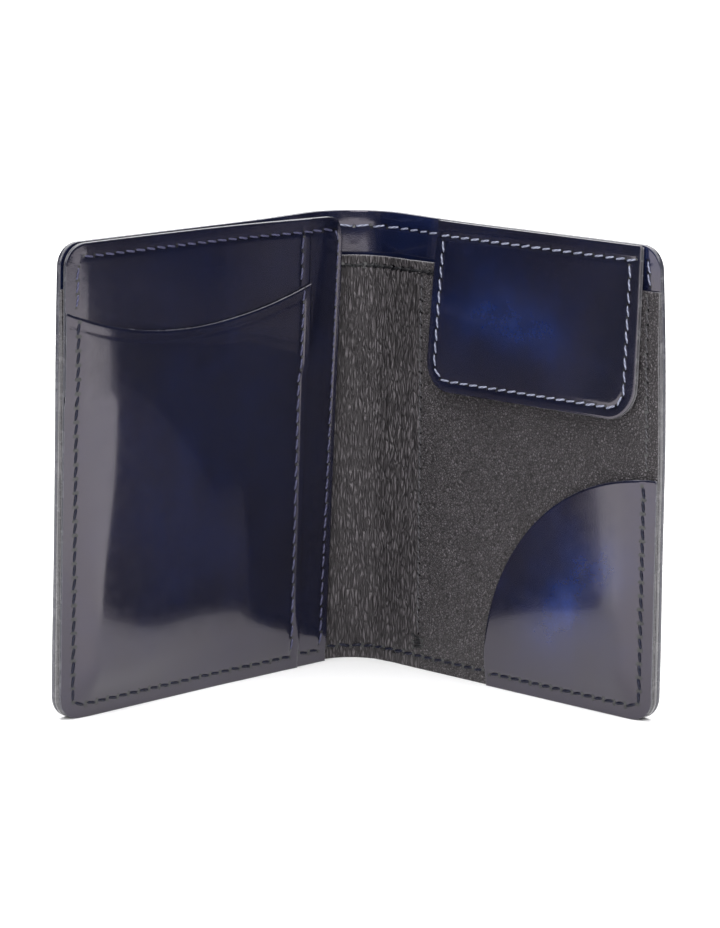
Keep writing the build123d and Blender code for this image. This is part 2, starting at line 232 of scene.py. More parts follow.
def inside(points, outline):
    """Which points an outline holds."""
    x, y = points[:, 0], points[:, 1]
    found = np.zeros(len(points), bool)
    for a, b in zip(outline, np.roll(outline, -1, axis=0)):
        crosses = (a[1] > y) != (b[1] > y)
        with np.errstate(divide="ignore", invalid="ignore"):
            at = a[0] + (y - a[1]) * (b[0] - a[0]) / (b[1] - a[1])
        found ^= crosses & (x < at)
    return found


def triangulated(outline, spacing, lines, near=1.0, fine=0.4):
    """Points and triangles that fill an outline, finer along the lines."""
    low, high = outline.min(0), outline.max(0)
    rows = np.arange(low[1] + spacing / 2, high[1], spacing * 0.87)
    grid = []
    for i, y in enumerate(rows):
        x = np.arange(low[0] + spacing * (0.5 + 0.5 * (i % 2)), high[0], spacing)
        grid.append(np.stack([x, np.full_like(x, y)], 1))
    grid = np.concatenate(grid)
    for line in lines:
        grid = grid[to_path(grid, line) > near]
    extra = []
    for line in lines:
        length = np.linalg.norm(np.diff(line, axis=0), axis=1)
        for a, b, n in zip(line[:-1], line[1:], length):
            if n < 1e-9:
                continue
            d = (b - a) / n
            side = np.array([-d[1], d[0]])
            for k, offset in enumerate(np.arange(-near, near + 0.01, fine)):
                count = max(1, int(n / (fine * 1.6)))
                t = (np.arange(count) + 0.5 * (k % 2) + 0.25) / count * n
                extra.append(a + t[:, None] * d + offset * side)
    if extra:
        extra = np.concatenate(extra)
        key = np.round(extra / (fine * 0.7)).astype(int)
        _, first = np.unique(key, axis=0, return_index=True)
        extra = extra[np.sort(first)]
        grid = np.concatenate([grid, extra])
    closed = np.concatenate([outline, outline[:1]])
    grid = grid[inside(grid, outline)]
    grid = grid[to_path(grid, closed) > 0.3]
    points = np.concatenate([outline, grid])
    loop = list(range(len(outline)))
    found = delaunay_2d_cdt([Vector(p) for p in points], [], [loop], 1, 1e-6)
    where = {}
    for new, olds in enumerate(found[3]):
        for old in olds:
            where[old] = new
    return np.array([v[:] for v in found[0]]), np.array(found[2]), [where[i] for i in loop]


# ---------------- meshes


def new_mesh(name, points, faces, uv, materials, slots, burnish_and_sheen=None, seam=None):
    """A smooth mesh piece from arrays. seam marks the points on the plane x = 0, where two halves
    of a sheet meet, and their normals lie in that plane."""
    mesh = bpy.data.meshes.new(name)
    mesh.from_pydata(points.tolist(), [], [tuple(int(i) for i in f) for f in faces])
    layer = mesh.uv_layers.new(name="sheet")
    corners = np.zeros(len(mesh.loops), np.int32)
    mesh.loops.foreach_get("vertex_index", corners)
    layer.data.foreach_set("uv", (uv[corners] / 100).astype(np.float32).ravel())
    for m in materials:
        mesh.materials.append(m)
    mesh.polygons.foreach_set("material_index", np.asarray(slots, np.int32))
    mesh.polygons.foreach_set("use_smooth", np.ones(len(mesh.polygons), bool))
    # the per-point blue of glossy pieces: burnished colour, and on the flap and corner pocket
    # partly a painted sheen
    if burnish_and_sheen is not None:
        attribute = mesh.attributes.new("burnish_and_sheen", "FLOAT", "POINT")
        attribute.data.foreach_set("value", burnish_and_sheen.astype(np.float32))
    mesh.update()
    if seam is not None and seam.any():
        normals = np.zeros(len(points) * 3, np.float32)
        mesh.vertices.foreach_get("normal", normals)
        normals = normals.reshape(-1, 3)
        normals[seam, 0] = 0
        normals /= np.maximum(np.linalg.norm(normals, axis=1, keepdims=True), 1e-9)
        mesh.normals_split_custom_set_from_vertices(normals.tolist())
    piece = bpy.data.objects.new(name, mesh)
    bpy.context.collection.objects.link(piece)
    return piece


EDGE_STEP = 0.8
FLAT_STARTS = 2.4


def plate(name, side, outline, back, front, materials, edge, spacing, lines=(), seam=None,
          burnish_and_sheen=None):
    """A sheet of leather or cloth with rounded edges, between its back and front depths.
    materials are those of its front, its back and its edge, edge is the edge's radius and spacing
    the mesh's. The mesh of the flat faces starts FLAT_STARTS radii in from the outline."""
    outline = resampled(outline, EDGE_STEP)
    steps = inset_directions(outline, seam)
    lines = [np.array(line) for line in lines]
    flat, triangles, loop = triangulated(outline + steps * edge * FLAT_STARTS, spacing, lines)
    count, ring = len(flat), len(outline)
    roll = edge * (1 - math.sqrt(0.5))

    def rim(inset, sunk, from_front):
        p = outline + steps * inset
        depth = front(*p.T) - sunk if from_front else back(*p.T) + sunk
        return p, depth

    places = [(flat, front(*flat.T)), (flat, back(*flat.T))]
    rings = [(edge, 0, True), (roll, roll, True), (0, edge, True),
             (0, edge, False), (roll, roll, False), (edge, 0, False)]
    places += [rim(*r) for r in rings]
    where = np.concatenate([p for p, _ in places])
    depths = np.concatenate([d for _, d in places])
    starts = [2 * count + ring * i for i in range(len(rings))]
    loops = [np.array(loop)] + [np.arange(s, s + ring) for s in starts] + [np.array(loop) + count]
    faces = [tuple(t) for t in triangles] + [tuple(t[::-1] + count) for t in triangles]
    slots = [0] * len(triangles) + [1] * len(triangles)
    after = np.roll(np.arange(ring), -1)
    on_seam = np.abs(outline[:, 0] - seam) < 1e-6 if seam is not None else np.zeros(ring, bool)
    for k, (a, b) in enumerate(zip(loops[:-1], loops[1:])):
        for i in range(ring):
            if on_seam[i] and on_seam[after[i]]:
                continue
            faces.append((a[i], b[i], b[after[i]], a[after[i]]))
            slots.append(0 if k < 2 else 1 if k > 4 else 2)
    if side == LEFT:
        faces = [f[::-1] for f in faces]
    points = wall(side, where[:, 0], where[:, 1], depths)
    uv = np.stack([side * (where[:, 0] + BEND), where[:, 1]], axis=1)
    seam_points = np.abs(where[:, 0] - seam) < 1e-6 if seam is not None else None
    tint = burnish_and_sheen(*where.T) if burnish_and_sheen else None
    return new_mesh(name, points, faces, uv, materials, slots, tint, seam_points)


STITCH_LENGTH = 2.8
FINE_THREAD, HEAVY_THREAD = 0.215, 0.33
RINGS, AROUND = 9, 8
HOLE_AT, HOLE_SIZE, HOLE_PROUD = 0.54, 1.5, 0.025


def stitches(name, side, rows, surface, material, outside, thick):
    """Threads lying on a surface, one slim bead for each stitch, with a disc of painted shade for
    each hole they go into. rows are (path, pitch, slant in degrees)."""
    rng = np.random.default_rng(len(name) * 131 + sum(map(ord, name)))
    middles, turns = [], []
    for path, pitch, slant in rows:
        path = np.array(path, float)
        length = np.linalg.norm(np.diff(path, axis=0), axis=1)
        total = np.concatenate([[0], np.cumsum(length)])
        count = max(1, int(round(total[-1] / pitch)))
        for at in (np.arange(count) + 0.5) * total[-1] / count:
            k = min(np.searchsorted(total, at) - 1, len(length) - 1)
            d = (path[k + 1] - path[k]) / length[k]
            middles.append(path[k] + d * (at - total[k]))
            turns.append(math.atan2(d[1], d[0]) + math.radians(slant + rng.normal(0, 1.5)))
    middles, turns = np.array(middles), np.array(turns)
    n = len(middles)
    out = -1.0 if outside else 1.0
    stations = np.linspace(-1, 1, RINGS)[:, None]
    swell = np.sqrt(np.maximum(1 - stations**4, 0.02))
    lift = 0.15 - 0.26 * np.abs(stations) ** 3
    around = np.arange(AROUND) / AROUND * 2 * math.pi
    reach = np.repeat(stations * STITCH_LENGTH / 2, AROUND, axis=1)
    across = swell * thick * np.cos(around)
    rise = lift + swell * thick * 0.8 * np.sin(around)
    size = 1 + rng.normal(0, 0.04, n)[:, None, None]
    t = np.stack([np.cos(turns), np.sin(turns)], 1)
    s = np.stack([-t[:, 1], t[:, 0]], 1)
    flat = (middles[:, None, None, :] + (reach * size)[..., None] * t[:, None, None, :]
            + (across * size)[..., None] * s[:, None, None, :])
    depth = surface(middles[:, 0], middles[:, 1])[:, None, None] + out * rise
    points = wall(side, flat[..., 0], flat[..., 1], depth).reshape(-1, 3)
    bead = []
    for i in range(0, (RINGS - 1) * AROUND, AROUND):
        for j in range(AROUND):
            a, b = i + j, i + (j + 1) % AROUND
            bead.append((a, b, b + AROUND, a + AROUND))
    bead += [tuple(range(AROUND - 1, -1, -1)), tuple(range((RINGS - 1) * AROUND, RINGS * AROUND))]
    faces = [tuple(v + RINGS * AROUND * k for v in f) for k in range(n) for f in bead]
    slots = [0] * len(faces)
    round_it = np.broadcast_to(around * thick * 2, (n, RINGS, AROUND))
    uv = np.stack([np.broadcast_to(reach, (n, RINGS, AROUND)), round_it], -1).reshape(-1, 2)
    uv = uv + np.repeat(middles, RINGS * AROUND, 0)

    # painted shade: a dark disc at each end of each stitch, just proud of the leather, for the
    # shade in its needle hole
    to_end = t * STITCH_LENGTH * HOLE_AT
    ends = np.concatenate([middles + to_end, middles - to_end])
    spots = ends[:, None, :] + np.stack([np.cos(around), np.sin(around)], 1) * thick * HOLE_SIZE
    spots = spots.reshape(-1, 2)
    holes = wall(side, *spots.T, surface(*spots.T) + out * HOLE_PROUD)
    faces += [tuple(len(points) + AROUND * k + j for j in range(AROUND)) for k in range(len(ends))]
    slots += [1] * len(ends)
    if (side == RIGHT) != outside:
        faces = [f[::-1] for f in faces]
    return new_mesh(name, np.concatenate([points, holes]), faces, np.concatenate([uv, spots]),
                    [material, painted_hole_shade], slots)


# ---------------- materials


class Nodes:
    """A short way to write a node tree. Patterns lie on the sheet laid flat, or with in_space they
    fill the space the piece is in."""

    def __init__(self, name, in_space=False):
        self.material = bpy.data.materials.new(name)
        self.material.use_nodes = True
        self.tree = self.material.node_tree
        self.shader = self.tree.nodes["Principled BSDF"]
        self.in_space = in_space
        if in_space:
            self.place = self.add("ShaderNodeTexCoord").outputs["Object"]
        else:
            self.place = self.add("ShaderNodeUVMap", uv_map="sheet").outputs["UV"]

    def put(self, socket, value):
        if isinstance(value, bpy.types.NodeSocket):
            self.tree.links.new(value, socket)
        else:
            socket.default_value = value

    def add(self, kind, inputs=(), **settings):
        node = self.tree.nodes.new(kind)
        for key, value in settings.items():
            setattr(node, key, value)
        for key, value in dict(inputs).items():
            self.put(node.inputs[key], value)
        return node

    def stretch(self, x, y):
        size = (x, y, y if self.in_space else 1)
        scaled = self.add("ShaderNodeMapping", {"Vector": self.place, "Scale": size})
        return scaled.outputs["Vector"]

    def noise(self, x, y, detail=3.0, rough=0.5):
        """Noise with this many bumps to 100 mm along and up."""
        return self.add("ShaderNodeTexNoise", {
            "Vector": self.stretch(x, y), "Scale": 1.0, "Detail": detail, "Roughness": rough,
        }).outputs["Fac"]

    def math(self, kind, a, b=0.0, c=0.0):
        return self.add("ShaderNodeMath", {0: a, 1: b, 2: c}, operation=kind).outputs[0]

    def ramp(self, value, low, high, to_low=0.0, to_high=1.0):
        return self.add("ShaderNodeMapRange", {
            "Value": value, "From Min": low, "From Max": high, "To Min": to_low, "To Max": to_high,
        }, interpolation_type="SMOOTHSTEP").outputs["Result"]

    def mix(self, factor, a, b):
        inputs = {0: factor, 6: a, 7: b}
        return self.add("ShaderNodeMix", inputs, data_type="RGBA").outputs[2]

    def bump(self, height, distance_mm, normal=None):
        inputs = {"Height": height, "Distance": distance_mm * MM, "Strength": 1.0}
        if normal is not None:
            inputs["Normal"] = normal
        return self.add("ShaderNodeBump", inputs).outputs["Normal"]

    def set(self, **inputs):
        for key, value in inputs.items():
            self.put(self.shader.inputs[key.replace("_", " ")], value)
        return self.material


def gloss_leather(name, mottle):
    """Polished calf with a burnished finish: near-black navy that opens into blue clouds where the
    mesh's per-point blue says so (burnished colour, and on the flap and the corner pocket partly a
    painted sheen), and by the mottle everywhere."""
    n = Nodes(name)
    burnish_and_sheen = n.add("ShaderNodeAttribute", attribute_name="burnish_and_sheen").outputs["Fac"]
    clouds = n.ramp(n.noise(5.5, 5.5, 6.0, 0.62), 0.36, 0.72)
    streaks = n.ramp(n.noise(16.0, 9.0, 5.0, 0.6), 0.25, 0.8, 0.5, 1.0)
    opened = n.math("MULTIPLY_ADD", clouds, 0.6, 0.4)
    amount = n.math("MULTIPLY", n.math("MULTIPLY", burnish_and_sheen, opened), streaks)
    amount = n.math("ADD", amount, n.math("MULTIPLY", clouds, mottle))
    speckle = n.ramp(n.noise(210.0, 210.0, 2.0, 0.7), 0.3, 0.7, 0.82, 1.15)
    tint = n.mix(n.math("MULTIPLY", amount, speckle), DARK_NAVY, BLUE)
    pores = n.noise(260.0, 260.0, 2.0, 0.6)
    haze = n.noise(26.0, 26.0, 5.0, 0.6)
    normal = n.bump(n.noise(7.0, 7.0, 1.0, 0.4), 0.05)
    normal = n.bump(pores, 0.008, normal)
    rough = n.ramp(haze, 0.3, 0.75, 0.09, 0.16)
    return n.set(Base_Color=tint, Roughness=rough, Specular_IOR_Level=0.70,
                 Specular_Tint=(1.0, 0.88, 0.97, 1), Coat_Weight=0.36, Coat_Roughness=0.05,
                 Coat_IOR=1.5, Normal=normal)


def grain_leather(name):
    """Charcoal goat: a fine pebble, pulled into upright wrinkles where it goes round the spine."""
    n = Nodes(name)
    across = n.add("ShaderNodeSeparateXYZ", {"Vector": n.place}).outputs["X"]
    spine = n.ramp(n.math("ABSOLUTE", across), 0.195, 0.205, 1.0, 0.0)

    def either(flat, bent):
        return n.add("ShaderNodeMix", {0: spine, 2: flat, 3: bent}, data_type="FLOAT").outputs[0]

    def cells(x, y, bend, crack):
        """Grain cells, this many to 100 mm along and up: how far out of the cracks a point is, and
        a number for its cell."""
        place = {"Vector": n.stretch(x * 0.45, y * 0.45), "Scale": 1.0}
        wander = n.add("ShaderNodeTexNoise", place).outputs["Color"]
        wander = n.add("ShaderNodeVectorMath", {0: wander, 1: (bend, bend, 0)},
                       operation="MULTIPLY").outputs[0]
        place = n.add("ShaderNodeVectorMath", {0: n.stretch(x, y), 1: wander}, operation="ADD")
        place = {"Vector": place.outputs[0], "Scale": 1.0}
        rim = n.add("ShaderNodeTexVoronoi", place, feature="DISTANCE_TO_EDGE")
        one = n.add("ShaderNodeTexVoronoi", place, feature="F1")
        own = n.add("ShaderNodeSeparateColor", {"Color": one.outputs["Color"]}).outputs["Red"]
        return n.ramp(rim.outputs["Distance"], 0.0, crack), own

    flat_dome, flat_own = cells(185, 165, 1.2, 0.34)
    bent_dome, bent_own = cells(150, 37, 1.7, 0.34)
    bent_own = n.math("MULTIPLY_ADD", bent_own, 0.55, 0.15)
    dome, own = either(flat_dome, bent_dome), either(flat_own, bent_own)
    fine = n.noise(330, 250, 3.0, 0.7)
    folds = n.noise(70, 11, 3.0, 0.6)
    tone = n.ramp(n.noise(11, 8, 5.0, 0.6), 0.3, 0.7, 0.0, 0.35)
    tone = n.math("ADD", tone, n.math("MULTIPLY", own, 0.65))
    base = n.mix(tone, (0.024, 0.0215, 0.0235, 1), (0.124, 0.113, 0.122, 1))
    shown = n.math("MULTIPLY", dome, n.ramp(fine, 0.25, 0.55, 0.55, 1.0))
    tint = n.mix(shown, (0.005, 0.0045, 0.005, 1), base)
    # Painted highlight: the grain's ridges are drawn lighter along the middle of the spine, where
    # light catches its curve.
    spine_highlight = n.ramp(n.math("ABSOLUTE", across), 0.04, 0.18, 0.28, 0.12)
    spine_highlight = n.math("MULTIPLY", spine_highlight, n.math("MULTIPLY", dome, own))
    tint = n.mix(spine_highlight, tint, (0.17, 0.156, 0.166, 1))
    height = n.math("MULTIPLY", dome, n.math("MULTIPLY_ADD", own, 0.4, 0.6))
    height = n.math("MULTIPLY_ADD", fine, 0.35, height)
    normal = n.bump(n.math("MULTIPLY", folds, spine), 0.7)
    normal = n.bump(height, 0.26, normal)
    rough = n.ramp(dome, 0.0, 1.0, 0.52, 0.30)
    return n.set(Base_Color=tint, Roughness=rough, Specular_IOR_Level=0.6,
                 Specular_Tint=(1.0, 0.94, 0.97, 1), Normal=normal)


def edge_paint(name, tone, wear):
    """Painted cut edge: satin paint with rubbed places."""
    n = Nodes(name, in_space=True)
    rubbed = n.ramp(n.noise(300, 300, 5.0, 0.65), 0.45, 0.75)
    tint = n.mix(n.math("MULTIPLY", rubbed, 0.6), tone, wear)
    normal = n.bump(n.noise(1500, 1500, 3.0), 0.02)
    return n.set(Base_Color=tint, Roughness=n.ramp(rubbed, 0, 1, 0.24, 0.45), Coat_Weight=0.5,
                 Coat_Roughness=0.15, Normal=normal)


def lining_cloth(name):
    """Plain woven cloth."""
    n = Nodes(name)
    yarns = {"Vector": n.stretch(100, 100), "Scale": 0.9, "Distortion": 0.6}
    warp = n.add("ShaderNodeTexWave", yarns, bands_direction="X").outputs["Fac"]
    weft = n.add("ShaderNodeTexWave", yarns, bands_direction="Y").outputs["Fac"]
    weave = n.math("MAXIMUM", warp, weft)
    tint = n.mix(weave, (0.006, 0.006, 0.012, 1), (0.022, 0.023, 0.036, 1))
    return n.set(Base_Color=tint, Roughness=0.85, Sheen_Weight=0.2, Normal=n.bump(weave, 0.08))


def thread(name, dark, light):
    """Waxed twisted thread."""
    n = Nodes(name)
    twist = {"Vector": n.stretch(100, 100), "Scale": 0.55, "Distortion": 0.4}
    ply = n.add("ShaderNodeTexWave", twist, bands_direction="DIAGONAL").outputs["Fac"]
    wax = n.ramp(n.noise(30, 30, 2.0), 0.2, 0.8, 0.5, 1.0)
    tint = n.mix(n.math("MULTIPLY", ply, wax), dark, light)
    return n.set(Base_Color=tint, Roughness=0.42, Specular_IOR_Level=0.3, Normal=n.bump(ply, 0.06))


DARK_NAVY = (0.0050, 0.0054, 0.0115, 1)
BLUE = (0.011, 0.031, 0.155, 1)
polished = gloss_leather("polished_navy_leather", 0.02)
polished_outside = gloss_leather("polished_navy_cover", 0.10)
grained = grain_leather("grained_charcoal_leather")
flesh = edge_paint("leather_reverse", (0.012, 0.012, 0.02, 1), (0.03, 0.03, 0.04, 1))
painted = edge_paint("painted_edge_navy", (0.035, 0.035, 0.048, 1), (0.14, 0.135, 0.15, 1))
painted_grey = edge_paint("painted_edge_grey", (0.070, 0.067, 0.074, 1), (0.19, 0.185, 0.195, 1))
cloth = lining_cloth("lining_cloth")
pale_thread = thread("pale_thread", (0.13, 0.14, 0.20, 1), (0.42, 0.44, 0.56, 1))
dim_thread = thread("lavender_thread", (0.030, 0.030, 0.060, 1), (0.13, 0.13, 0.23, 1))
# Painted shade: these near-black discs stand for the shade inside the needle holes.
painted_hole_shade = edge_paint("painted_hole_shade", (0.002, 0.002, 0.003, 1), (0.006, 0.006, 0.008, 1))
navy_thread = thread("navy_thread", (0.002, 0.002, 0.006, 1), (0.010, 0.012, 0.036, 1))
black_thread = thread("black_thread", (0.003, 0.003, 0.004, 1), (0.018, 0.018, 0.021, 1))
grey_thread = thread("grey_thread", (0.030, 0.029, 0.033, 1), (0.105, 0.10, 0.11, 1))

# ---------------- rows of stitching

PITCH = 3.0
SEAM_INSET = 3.0
TOP_ROW = HEIGHT - 3.4
LINING_ROW = LINING_TOP - 2.3
LINING_SEAM = 66.8
CARD_POCKET_WIDTH = 69.3
CARD_SEAM = CARD_POCKET_WIDTH - 2.3
LEAF_WIDTH = 78.6
LEAF_TOP_WIDTH = 80.2
MOUTH_END, MOUTH_DROP = 87.8, 6.7
POCKET_RADIUS, POCKET_CENTRE = 47.4, (from_edge(-1.0), 5.1)
FLAP_FIRST, FLAP_LAST = 4.0, 62.6
FLAP_BOTTOM, FLAP_KNEE, FLAP_HINGE = 64.8, 92.0, 98.25


def groove(along, height, lines, depth, width=0.45):
    """How far a surface is pulled in along its rows of stitching."""
    points = np.stack([np.asarray(along, float), np.asarray(height, float)], 1)
    total = np.zeros(len(points))
    for line in lines:
        total = np.maximum(total, np.exp(-((to_path(points, np.array(line, float)) / width) ** 2)))
    return depth * total


def seam_line(first, last=None):
    """The seam along the foot and up the free edge, as far as a height."""
    edge, r = from_edge(SEAM_INSET), 2.6
    points = [(first, SEAM_INSET), (edge - r, SEAM_INSET)]
    points += [tuple(p) for p in circle_arc((edge - r, SEAM_INSET + r), r, -math.pi / 2, 0, 1.0)]
    points.append((edge, TOP_ROW - r if last is None else last))
    return points


def upright(inset, bottom, top):
    """An upright row, this far in from the panel's free edge."""
    return [(from_edge(inset), bottom), (from_edge(inset), top)]


# ---------------- outer layers


def mouth_opening(along, height):
    """How far the cover and its facing stand back from the lining, opening the note compartment."""
    return 2.3 * smooth((24 - along) / 34) * (np.clip(height, 0, HEIGHT) / HEIGHT) ** 1.6


def cover_back(along, height):
    dents = 0.10 * waves(along, height, 11, 38)
    rows = groove(along, height, OUTER_ROWS, 0.09)
    return dents - mouth_opening(along, height) + rows


def cover_front(along, height):
    return COVER_THICK - mouth_opening(along, height)


def facing_front(along, height):
    face = FACING_FACE + 0.05 * waves(along, height, 12, 26)
    return face - mouth_opening(along, height) - groove(along, height, [FACING_ROW], 0.12)


FACING_ROW = [(-BEND, TOP_ROW), (from_edge(SEAM_INSET), TOP_ROW)]
OUTER_ROWS = [seam_line(-BEND), FACING_ROW]
LINING_TOP_ROW = [(-BEND, LINING_ROW), (from_edge(4), LINING_ROW)]
RIGHT_LINING_ROWS = [upright(LINING_SEAM, 6, LINING_ROW), seam_line(-BEND, LINING_TOP - 1)]


def sag(along, height):
    """The lining's slack round the spine."""
    near = smooth((11 - along) / 10)
    return near * (0.35 * np.sin(math.pi * np.clip(height / LINING_TOP, 0, 1))
                   + 0.10 * waves(along * 5, height * 0.55, 21, 24))


def laid_down(along, height):
    """The lining's upper edge lies closer to the top strip away from the spine."""
    return 0.85 * smooth((height - 78) / 14) * smooth((along - 6) / 14)


def lining_front(along, height):
    pillow = 0.25 * smooth((along - 2) / 8) * smooth((from_edge(4) - along) / 5)
    pillow = pillow * smooth(height / 9)
    loose = 0.4 * waves(along, height, 22, 30) * smooth((height - 45) / 18)
    return (LINING_FACE + sag(along, height) - laid_down(along, height) + pillow * (1 + loose)
            - groove(along, height, [LINING_TOP_ROW], 0.16))


def right_lining_front(along, height):
    return lining_front(along, height) - groove(along, height, RIGHT_LINING_ROWS, 0.22, 0.6)


def lining_back(along, height):
    return LINING_BACK + sag(along, height) - laid_down(along, height)


def span(bottom, top, bottom_corner, top_corner):
    """The outline of a sheet from the middle of the spine to the panel's free edge."""
    return rounded([(-BEND, bottom, 0), (PANEL_LENGTH, bottom, bottom_corner),
                    (PANEL_LENGTH, top, top_corner), (-BEND, top, 0)])


def across_fold(piece, side):
    """Bakes a half sheet's transform into its mesh; wall() has already bent it round the spine."""
    if side == LEFT:
        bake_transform(piece)
    else:
        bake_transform(piece)


SIDES = ((LEFT, "left"), (RIGHT, "right"))


def outside_tint(along, height):
    rim = np.minimum(np.minimum(height, HEIGHT - height), PANEL_LENGTH - along)
    return smooth(rim / 26) * (0.26 + 0.20 * np.clip(waves(along, height, 31, 55), -1, 1))


def facing_tint(along, height):
    return np.full_like(along, 0.25)


def finished(piece, slot, *nodes):
    """Hides the CAD nodes a piece stands for. slot is not used."""
    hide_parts(*nodes)
    return piece


def make_outer_layers(side, word):
    """The sheets that go round the spine, as far as the middle of it."""
    piece = plate(f"cover_{word}_leather", side, span(0, HEIGHT, CORNER, CORNER), cover_back,
                  cover_front, [flesh, polished_outside, painted], edge=0.35, spacing=1.4,
                  lines=OUTER_ROWS, seam=-BEND, burnish_and_sheen=outside_tint)
    across_fold(piece, side)
    finished(piece, "gloss_leather", f"cover_{word}", "cover_spine")

    piece = plate(f"top_facing_{word}_leather", side, span(FACING_BOTTOM, HEIGHT, 0, CORNER),
                  cover_front, facing_front, [polished, flesh, painted], edge=0.18, spacing=1.2,
                  lines=[FACING_ROW], seam=-BEND, burnish_and_sheen=facing_tint)
    across_fold(piece, side)
    finished(piece, "gloss_leather", f"top_facing_{word}", "top_facing_spine")

    cloth_top = FACING_BOTTOM - 0.3
    outline = rounded([(-BEND, HEM, 0), (from_edge(HEM), HEM, 0), (from_edge(HEM), cloth_top, 0),
                       (-BEND, cloth_top, 0)])
    piece = plate(f"note_compartment_cloth_{word}", side, outline, cover_front,
                  lambda a, h: cover_front(a, h) + CLOTH_THICK, [cloth, cloth, cloth], edge=0.1,
                  spacing=2.0)
    across_fold(piece, side)
    finished(piece, "cloth", f"bill_cloth_{word}", "bill_cloth_spine")

    right = side == RIGHT
    piece = plate(f"inner_lining_{word}_leather", side, span(0, LINING_TOP, CORNER, 0), lining_back,
                  right_lining_front if right else lining_front, [grained, flesh, painted_grey],
                  edge=0.35, spacing=1.3, seam=-BEND,
                  lines=[LINING_TOP_ROW] + (RIGHT_LINING_ROWS if right else []))
    across_fold(piece, side)
    finished(piece, "grain_leather", f"inner_lining_{word}", "inner_lining_spine")

    # the turned hem behind the lining, down the free edge and along the foot
    outline = rounded([(-BEND, 0, 0), (PANEL_LENGTH, 0, CORNER), (PANEL_LENGTH, LINING_TOP, 0),
                       (from_edge(4), LINING_TOP, 0), (from_edge(4), 4, 1.0), (-BEND, 4, 0)])
    piece = plate(f"lining_hem_{word}", side, outline, lambda a, h: cover_front(a, h) + 0.02,
                  lambda a, h: lining_back(a, h) - 0.02, [grained, grained, painted_grey],
                  edge=0.25, spacing=1.6, seam=-BEND)
    across_fold(piece, side)
    finished(piece, "grain_leather", f"inner_lining_{word}")


for side, word in SIDES:
    make_outer_layers(side, word)

# ---------------- the leaf and its pocket

LEAF_BACK, LEAF_MIDDLE, LEAF_FACE = 3.8, 4.3, 5.0
CARD_FACING_FACE, CARD_POCKET_BACK, CARD_POCKET_FACE = 5.6, 5.8, 6.5
LEAF_FLARE = 4.3
FACING_FOOT = 70


def flare(along, height):
    """How far the leaf stands off the lining, most at its free top corner by the spine."""
    reach = smooth((62 - along) / 76)
    rise = (np.clip(height - 4, 0, HEIGHT) / (HEIGHT - 4)) ** 1.3
    return LEAF_FLARE * reach * rise + 0.05 * waves(along, height, 41, 42) * smooth(height / 10)


def leaf_outline():
    return rounded([(from_edge(LEAF_WIDTH), 0, 0), (PANEL_LENGTH, 0, CORNER),
                    (PANEL_LENGTH, HEIGHT, CORNER), (from_edge(LEAF_TOP_WIDTH), HEIGHT, 6.0)])


def leaf_row():
    top, low = (from_edge(LEAF_TOP_WIDTH - 2.3), HEIGHT - 2.9), (from_edge(LEAF_WIDTH - 2.3), 4.2)
    corner = rounded([(*low, 0), (from_edge(4.5), HEIGHT - 2.9, 0), (*top, 3.6)])
    return [corner[1]] + list(corner[2:]) + [corner[0]]


def leaf_foot_row():
    return [(from_edge(LEAF_WIDTH - 2.6), SEAM_INSET),
            (from_edge(CARD_POCKET_WIDTH + 0.7), SEAM_INSET)]


LEAF_LINES = [leaf_row(), leaf_foot_row()]
FACING_LINES = [upright(CARD_SEAM, FACING_FOOT, HEIGHT - 2), leaf_row(),
                upright(SEAM_INSET, FACING_FOOT, TOP_ROW)]
POCKET_LINES = [seam_line(from_edge(CARD_SEAM), MOUTH_END), upright(CARD_SEAM, 3, 84)]


def leaf_front(along, height):
    return LEAF_FACE + flare(along, height) - groove(along, height, LEAF_LINES, 0.14)


def card_facing_front(along, height):
    return CARD_FACING_FACE + flare(along, height) - groove(along, height, FACING_LINES, 0.14)


MOUTH_RADIUS = ((CARD_POCKET_WIDTH / 2) ** 2 + MOUTH_DROP**2) / (2 * MOUTH_DROP)
MOUTH_CENTRE = (from_edge(CARD_POCKET_WIDTH / 2), MOUTH_END - MOUTH_DROP + MOUTH_RADIUS)
CREASE_BELOW = 2.1


def below_mouth(along, height):
    """The distance down from the scooped mouth."""
    away = np.hypot(np.asarray(along) - MOUTH_CENTRE[0], np.asarray(height) - MOUTH_CENTRE[1])
    return away - MOUTH_RADIUS


def card_pocket_front(along, height):
    settling = 5 + 7 * smooth((height - 15) / 45)
    across = smooth((along - from_edge(CARD_SEAM)) / 16)
    across = across * smooth((from_edge(SEAM_INSET) - along) / settling)
    pillow = 0.3 * across * smooth((height - SEAM_INSET) / 9)
    wavy = 0.05 * waves(along, height, 46, 44) * across
    crease = 0.05 * np.exp(-(((below_mouth(along, height) - CREASE_BELOW) / 0.5) ** 2))
    sewn = smooth((from_edge(SEAM_INSET) - along) / 4.5) * smooth((height - SEAM_INSET) / 8)
    belly = 1.5 * np.exp(-(((along - 76) / 24) ** 2) - (((height - 12) / 38) ** 2))
    belly += 1.8 * smooth((along - 34) / 26) * np.exp(-(((height - 3) / 20) ** 2))
    return (CARD_POCKET_FACE + flare(along, height) + pillow + wavy + sewn * belly - crease
            - on_leaf(height) * (1 - across) - groove(along, height, POCKET_LINES, 0.22, 0.6))


def mouth_arc(extra=0.0, share=1.0):
    """The scooped mouth, or a line this much below it over a share of its width."""
    half = math.asin((CARD_POCKET_WIDTH / 2) / MOUTH_RADIUS) * share
    down = -math.pi / 2
    return circle_arc(MOUTH_CENTRE, MOUTH_RADIUS + extra, down + half, down - half)


def card_pocket_outline():
    foot = rounded([(from_edge(CARD_POCKET_WIDTH), 0, 0), (PANEL_LENGTH, 0, CORNER),
                    (PANEL_LENGTH, 40, 0)])
    return np.concatenate([foot[:-1], mouth_arc()])


